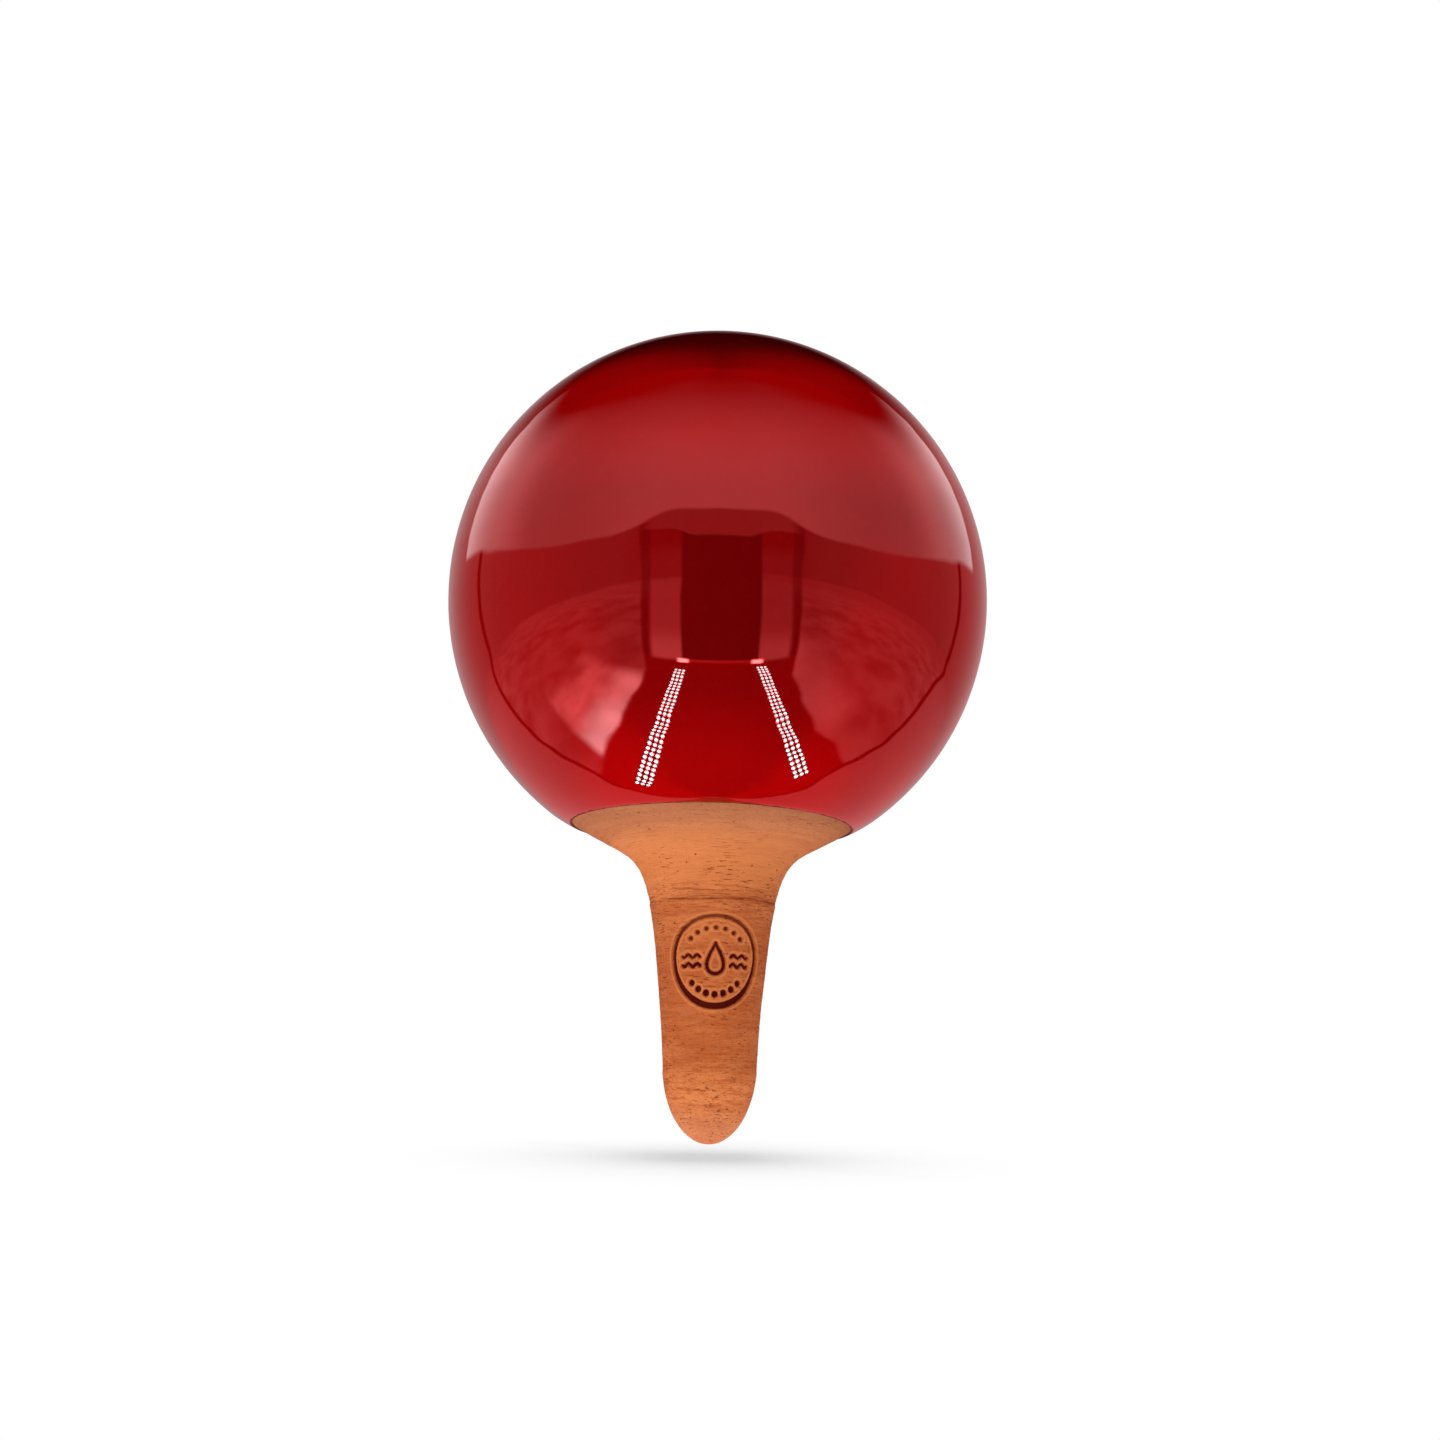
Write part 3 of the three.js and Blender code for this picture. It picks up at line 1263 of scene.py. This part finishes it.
@dataclass
class Stopper:
    """The tapered cork in the filler mouth."""

    finish: Cork = field(default_factory=Cork)
    top: float = 174.0
    length: float = 18.0
    top_radius: float = 10.0
    taper: float = 0.11
    edge: float = 0.8
    sides_round: int = 96
    rings: int = 6

    def build(self) -> bpy.types.Object:
        """Shape the cork from a cone and dress it.

        Returns:
            The finished piece.
        """
        deselect()
        bpy.ops.mesh.primitive_cone_add(
            vertices=self.sides_round,
            radius1=(self.top_radius - self.taper * self.length) * MM,
            radius2=self.top_radius * MM,
            depth=self.length * MM,
            location=(0, 0, (self.top - self.length / 2) * MM),
        )
        piece = bpy.context.object
        piece.name = piece.data.name = "cork_stopper"
        bpy.ops.object.transform_apply(location=True, rotation=True, scale=True)
        select_faces(piece, self.ends(piece))
        bpy.ops.mesh.bevel(offset=self.edge * MM, segments=4, affect="EDGES")
        for _ in range(self.rings):
            select_faces(piece, self.ends(piece))
            bpy.ops.mesh.inset(thickness=self.top_radius / (self.rings + 2) * MM)
        select_faces(piece, self.sides(piece))
        bpy.ops.mesh.subdivide(number_cuts=14, quadcorner="INNERVERT")
        bpy.ops.object.mode_set(mode="OBJECT")
        roughen(piece, self.finish.lump_size, self.finish.lump_depth)
        seat(piece, Body.STOPPER, "stopper", self.finish.material("natural_cork"))
        return piece

    @staticmethod
    def ends(piece: bpy.types.Object) -> list[bool]:
        """Find the two end faces, which are the ones with many corners."""
        choose(piece)
        return [len(face.vertices) > 8 for face in piece.data.polygons]

    def sides(self, piece: bpy.types.Object) -> list[bool]:
        """Find the long faces round the side."""
        choose(piece)
        spread = [[piece.data.vertices[v].co.z for v in face.vertices] for face in piece.data.polygons]
        return [max(heights) - min(heights) > self.length / 2 * MM for heights in spread]


# Studio


def set_stage(thing: bpy.types.Object, name: str, shader: Shader, gloss_only: bool = False) -> None:
    """Name and dress a stage object.

    Args:
        thing: The object.
        name: Its name.
        shader: Its finished material.
        gloss_only: Whether nothing but gloss shows it.
    """
    thing.name = thing.data.name = name
    thing.data.materials.append(shader.owner)
    if gloss_only:
        thing.visible_camera = thing.visible_diffuse = thing.visible_shadow = False
        thing.visible_transmission = thing.visible_volume_scatter = False


@dataclass
class MirroredRoom:
    """What the glaze mirrors, which only gloss shows: a cloth tent, a mat and two strips of lamps.

    A rise, and a turn aside from the front, are angles in degrees as seen from the globe's middle.
    Places on the mat are in millimetres. A pair of values is where a soft edge starts and ends.
    """

    radius: float = 1500.0
    middle: float = 117.25
    mat_height: float = -2.2
    front: float = 1.4
    doorway: Point = (14.6, 16.1)
    gap_inside: Point = (26.5, 28.0)
    gap_outside: Point = (32.0, 30.5)
    lintel: Point = (8.5, 9.5)
    seam: float = 114.0
    doorstep: Point = (158.0, 166.0)
    strip_size: Point = (12.3, 126.0)
    strip_height: float = 1.5
    lamp_pitch: Point = (4.1, 4.2)
    lamp_round: Point = (0.15, 0.08)
    lamp_beam: Point = (0.62, 0.42)
    lamp_glow: float = 25.0

    def build(self) -> None:
        """Raise the tent, and lay the mat and the lamps."""
        self.raise_tent()
        self.lay_mat()
        self.lay_strip("left_lamps", (-39.5, -77), 2.1)
        self.lay_strip("right_lamps", (50.8, -84), -2.7)

    def aside(self, at: TurnedPlace) -> Wire:
        """Give how far aside from the front a place lies."""
        return abs(at.x.angle(-at.y) - self.front)

    def beside_door(self, aside: Wire) -> Wire:
        """Give 0 in the dark doorway in front, less than 1 in the gaps beside its jambs, and 1 elsewhere."""
        gap = aside.between(*self.gap_inside) * aside.between(*self.gap_outside)
        return aside.between(*self.doorway) * (1 - 0.6 * gap)

    @staticmethod
    def skirting(aside: Wire) -> tuple[Wire, Wire]:
        """Give the tone and the blush along the foot of the tent."""
        tone = 0.08 + 0.04 * aside.between(31, 42) + 0.17 * aside.between(115, 155)
        return tone, 0.22 + 0.18 * aside.between(35, 85) - 0.2 * aside.between(115, 150)

    @staticmethod
    def hung_cloth(rise: Wire, aside: Wire) -> tuple[Wire, Wire, Wire]:
        """Shade the pale cloth that hangs above the wall, and ends overhead.

        Args:
            rise: How high a place lies.
            aside: How far aside it lies.

        Returns:
            Where the cloth hangs, its tone and its blush.
        """
        foot = 11 + 8 * aside.between(46, 16) + 6 * aside.between(60, 112) + aside.between(106, 116)
        hung = (rise - foot).between(-0.6, 1.0) * (aside - 0.35 * rise).between(123.5, 121)
        flank = aside.between(40, 125)
        crown = rise.between(86 - 34 * flank, 32 + 3 * flank)
        tone = 0.68 - 0.25 * aside.between(20, 70)
        tone = tone + 0.3 * aside.between(80, 105) + 0.5 * aside.between(105, 135)
        blush = (0.1 + 0.06 * aside.between(30, 70)) * aside.between(125, 90)
        return hung, crown * tone, blush

    def wall(self, at: TurnedPlace, rise: Wire, aside: Wire) -> tuple[Wire, Wire]:
        """Shade the wall below the cloth, with its doorway, its lintel and a dark seam.

        Args:
            at: Where a point lies.
            rise: How high it lies.
            aside: How far aside it lies.

        Returns:
            The wall's tone and its blush.
        """
        lintel = (rise - 3 * aside.between(10, 20)).between(*self.lintel) * aside.between(33, 25)
        seam = abs(aside - self.seam).between(2, 0.7)
        lit = self.beside_door(aside) * rise.between(48, 30)
        beside_jambs = aside.between(33, 31) * rise.between(0, 8)
        tone, blush = self.skirting(aside)
        blush = blush + 0.08 * at.x.between(0, 600) * aside.between(100, 125)
        tone = (1 - seam) * tone * lit * (1 - 0.85 * beside_jambs) + 0.14 * lintel
        return tone, 0.2 * lintel + (1 - lintel) * blush * lit * (1 - 0.35 * seam)

    def raise_tent(self) -> None:
        """Raise a round tent: pale low down, dark overhead and dim in front."""
        deselect()
        bpy.ops.mesh.primitive_uv_sphere_add(
            segments=64, ring_count=32, radius=self.radius * MM, location=(0, 0, self.middle * MM)
        )
        tent = bpy.context.object
        shader = Shader(bpy.data.materials.new("tent_cloth"))
        at = TurnedPlace(shader)
        rise, aside = at.z.angle(at.radius), self.aside(at)
        hung, cloth_tone, cloth_blush = self.hung_cloth(rise, aside)
        wall_tone, wall_blush = self.wall(at, rise, aside)
        forward = (1.4 * abs(at.x) - at.y) / (at.radius * at.radius + at.z * at.z) ** 0.5
        overhead = 0.35 * rise.between(25, 55) * forward.between(-0.4, 0.3)
        tone = hung * cloth_tone + (1 - hung) * wall_tone
        shader.glow(tone, overhead + hung * cloth_blush + (1 - hung) * wall_blush)
        set_stage(tent, "studio_tent", shader, gloss_only=True)

    @staticmethod
    def mat_edge(at: TurnedPlace) -> Wire:
        """Give how far back the mat's bent edge lies."""
        out = abs(at.x)
        edge = 0.48 * out - 44.4 + 39.4 * out.between(95, 0) - 0.048 * at.x
        return edge + (44.4 + 0.077 * at.x - 0.037 * out) * out.between(300, 900)

    @staticmethod
    def crumples(shader: Shader, at: TurnedPlace, aside: Wire) -> tuple[Wire, Wire, Wire]:
        """Shade the crumpled cloth at both sides of the mat, and the light that falls on its left.

        Args:
            shader: The mat's material.
            at: Where a point lies.
            aside: How far aside it lies.

        Returns:
            The tones of the cloth, of the haze on it and of its glare.
        """
        folds = shader.noise(at.spot, 0.014, 3.0).between(0.3, 0.7)
        out = abs(at.x - 3) + 8 * folds - 14 * at.x.between(0, 60) * at.y.between(-60, -30)
        right = at.x.between(170, 95) * at.x.between(0, 60) * at.y.between(-35, -70)
        cloth = out.between(78, 86) * aside.between(30, 32) * (0.1 + 0.2 * folds + 0.35 * right)
        spill = (out - 3).between(78, 84) * at.x.between(0, -60)
        spill = spill * at.y.between(-18, -30) * at.y.between(-140, -112)
        haze = spill * at.x.between(-215, -110) * (0.4 + 0.9 * folds)
        glare = spill * at.x.between(-125, -84) * (0.35 + 0.65 * at.y.between(-95, -60))
        return cloth, haze, glare

    def far_floor(self, at: TurnedPlace, aside: Wire) -> tuple[Wire, Wire]:
        """Shade the mat far out, where it meets the tent.

        Args:
            at: Where a point lies.
            aside: How far aside it lies.

        Returns:
            Its tone and its blush.
        """
        right = at.x.between(100, 500)
        streak = at.radius.between(430, 520) * at.radius.between(950, 800)
        streak = streak * (1 - 0.6 * at.x.between(0, 300))
        tone, blush = self.skirting(aside)
        tone = tone + (0.15 * streak + 0.05 * right) * aside.between(110, 80)
        return tone, blush + 0.08 * right

    def lay_mat(self) -> None:
        """Lay a mat: grey behind the object, dark in front of it and crumpled at both sides."""
        deselect()
        bpy.ops.mesh.primitive_plane_add(size=2 * self.radius * MM, location=(0, 0, self.mat_height * MM))
        mat = bpy.context.object
        shader = Shader(bpy.data.materials.new("mat_cloth"))
        at = TurnedPlace(shader)
        aside, edge, ahead = self.aside(at), self.mat_edge(at), -at.y
        line = (abs(at.y - edge) / at.radius).between(0.035, 0.012)
        doorstep = ahead.between(*self.doorstep)
        shown = 1 - doorstep * (1 - self.beside_door(aside))
        jambs = doorstep * aside.between(29, 27.5) * (0.2 + 0.25 * ahead.between(260, 170))
        jambs = jambs * (1 + 0.4 * at.x.between(20, -20))
        sill = ahead.between(156, 159) * ahead.between(166, 162) * aside.between(18, 16)
        cloth, haze, glare = self.crumples(shader, at, aside)
        near = 0.25 * (at.y - edge).between(-1.5, 2.5) + (edge - at.y).between(0, 4) * (cloth + jambs)
        near = near * shown + haze + 3.5 * glare + 10 * sill * aside.between(12, 14)
        blush = 0.25 + 0.25 * aside.between(35, 60) + 0.3 * at.radius.between(130, 40)
        far = at.radius.between(150, 1100)
        far_tone, far_blush = self.far_floor(at, aside)
        tone = (near + far * (far_tone * shown - near)) * (1 - line)
        blush = (blush + far * (far_blush - blush)) * shown * (1 - 0.35 * line)
        shader.glow(tone, blush - 2.8 * glare + 0.4 * sill)
        set_stage(mat, "studio_mat", shader, gloss_only=True)

    def lay_strip(self, name: str, middle: Point, lean: float) -> None:
        """Lay a strip of small lamps.

        Args:
            name: The strip's name.
            middle: Where its middle lies on the floor, in millimetres.
            lean: How far it is turned to the left, in degrees.
        """
        deselect()
        place = Vector((*middle, self.strip_height)) * MM
        bpy.ops.mesh.primitive_plane_add(size=MM, location=place, rotation=(0, 0, math.radians(lean)))
        bpy.ops.transform.resize(value=(*self.strip_size, 1), orient_type="LOCAL")
        bpy.ops.object.transform_apply(location=False, rotation=False, scale=True)
        strip = bpy.context.object
        shader = Shader(bpy.data.materials.new(f"{name}_glow"))
        at = TurnedPlace(shader)
        column = (at.x / self.lamp_pitch[0] + 0.5) % 1.0 - 0.5
        row = (at.y / self.lamp_pitch[1]) % 1.0 - 0.5
        lamp = (column * column + row * row).between(*self.lamp_round)
        facing = shader.add("ShaderNodeLayerWeight", {"Blend": 0.5}, out="Facing")
        tone = self.lamp_glow * facing.between(*self.lamp_beam) * lamp
        shader.glow(tone, -0.75 * tone)
        set_stage(strip, name, shader, gloss_only=True)


@dataclass
class Studio:
    """A pale floor, soft light and the camera of the photograph."""

    room: MirroredRoom = field(default_factory=MirroredRoom)
    floor_size: float = 12.0
    floor_drop: float = 2.6
    floor_tone: float = 0.8
    shadow_reach: float = 58.0
    shadow_depth: float = 0.34
    sky: float = 0.62
    overhead: float = 0.7
    soft_size: Point = (520, 520)
    table_place: Point = (-80, -110)
    table_size: Point = (320, 340)
    camera_place: tuple[float, float, float] = (0.0, -300.0, 20.0)
    pitch: float = 13.225
    yaw: float = 0.183
    roll: float = 0.964
    focal: float = 1385.1
    frame_width: float = 1440.0

    def build(self) -> None:
        """Lay the floor, light the object and set the camera."""
        self.set_world()
        self.lay_floor()
        self.room.build()
        self.set_lights()
        self.set_camera()
        bpy.context.scene.view_settings.view_transform = "Standard"

    def set_world(self) -> None:
        """Light everything softly, less from overhead, with white for the camera and for gloss."""
        world = bpy.data.worlds.new("studio")
        bpy.context.scene.world = world
        shader = Shader(world)
        way = shader.add("ShaderNodeTexCoord", out="Generated")
        up = shader.add("ShaderNodeSeparateXYZ", {0: way}, out="Z")
        soft = self.sky * (1 - self.overhead * up.between(0.0, 0.8))
        dim = shader.add("ShaderNodeBackground", {"Color": soft})
        white = shader.add("ShaderNodeBackground", {"Color": (1.0, 1.0, 1.0), "Strength": 1.0})
        shade = shader.add("ShaderNodeMixShader", {0: self.seen(shader), 1: dim, 2: white})
        shader.finish(shade, "ShaderNodeOutputWorld")

    @staticmethod
    def seen(shader: Shader) -> Wire:
        """Give 1 for the rays that show a background: the camera's, gloss and glass."""
        rays = ("Is Camera Ray", "Is Glossy Ray", "Is Transmission Ray")
        camera, gloss, glass = (shader.add("ShaderNodeLightPath", out=ray) for ray in rays)
        return (camera + gloss + glass).between(0.0, 1.0)

    def lay_floor(self) -> None:
        """Lay a pale floor that is white to the camera and keeps the object's soft shadow."""
        deselect()
        bpy.ops.mesh.primitive_plane_add(size=self.floor_size, location=(0, 0, -self.floor_drop * MM))
        floor = bpy.context.object
        shader = Shader(bpy.data.materials.new("pale_floor"))
        matt = shader.add("ShaderNodeBsdfDiffuse", {"Color": (self.floor_tone,) * 3})
        open_sky = shader.add("ShaderNodeAmbientOcclusion", {"Distance": self.shadow_reach * MM}, out="AO")
        shade = 1 - self.shadow_depth * (1 - open_sky).between(0.0, 0.3)
        white = shader.add("ShaderNodeEmission", {"Color": shade})
        shader.finish(shader.add("ShaderNodeMixShader", {0: self.seen(shader), 1: matt, 2: white}))
        set_stage(floor, "studio_floor", shader)

    def set_lights(self) -> None:
        """Set two large soft lights in front, and a light table under the front of the object."""
        table = Vector((*self.table_place, 0.8 - self.floor_drop))
        middle, over_table = Vector((0, 0, 100)), Vector((*self.table_place, 100))
        self.lamp("left_soft", Vector((-560, -560, 400)), self.soft_size, middle, 1.75)
        self.lamp("right_soft", Vector((560, -560, 400)), self.soft_size, middle, 0.95)
        self.lamp("light_table", table, self.table_size, over_table, 0.28)

    @staticmethod
    def lamp(name: str, place: Vector, size: Point, target: Vector, power: float) -> None:
        """Set one soft light, which gloss doesn't show.

        Args:
            name: The light's name.
            place: Its middle, in millimetres.
            size: Its width and length, in millimetres.
            target: What it shines at, in millimetres.
            power: Its power in watts.
        """
        deselect()
        bpy.ops.object.light_add(type="AREA", location=place * MM)
        lamp = bpy.context.object
        lamp.name = name
        lamp.rotation_euler = (target - place).to_track_quat("-Z", "Y").to_euler()
        lamp.data.shape = "RECTANGLE"
        lamp.data.size, lamp.data.size_y = size[0] * MM, size[1] * MM
        lamp.data.energy = power
        lamp.visible_camera = lamp.visible_glossy = False

    def set_camera(self) -> None:
        """Set the camera at the photograph's viewing angle."""
        deselect()
        bpy.ops.object.camera_add(location=Vector(self.camera_place) * MM)
        camera = bpy.context.object
        camera.name = "photo_camera"
        pitch, yaw = math.radians(self.pitch), math.radians(self.yaw)
        ahead = Vector((math.sin(yaw) * math.cos(pitch), math.cos(yaw) * math.cos(pitch), math.sin(pitch)))
        camera.rotation_euler = ahead.to_track_quat("-Z", "Y").to_euler()
        camera.rotation_euler.rotate_axis("Z", math.radians(self.roll))
        camera.data.sensor_width = 36.0
        camera.data.lens = camera.data.sensor_width * self.focal / self.frame_width
        camera.data.clip_start = MM
        bpy.context.scene.camera = camera


def main() -> None:
    """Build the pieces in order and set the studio."""
    logging.basicConfig(level=logging.INFO, format="%(name)s: %(message)s")
    for maker in (ClayGlobe(), GlazeCoat(), Spike(), SlipJoint(), Stopper()):
        piece = maker.build()
        LOG.info("%s: %d faces", piece.name, len(piece.data.polygons))
    Studio().build()


if __name__ == "__main__":
    main()
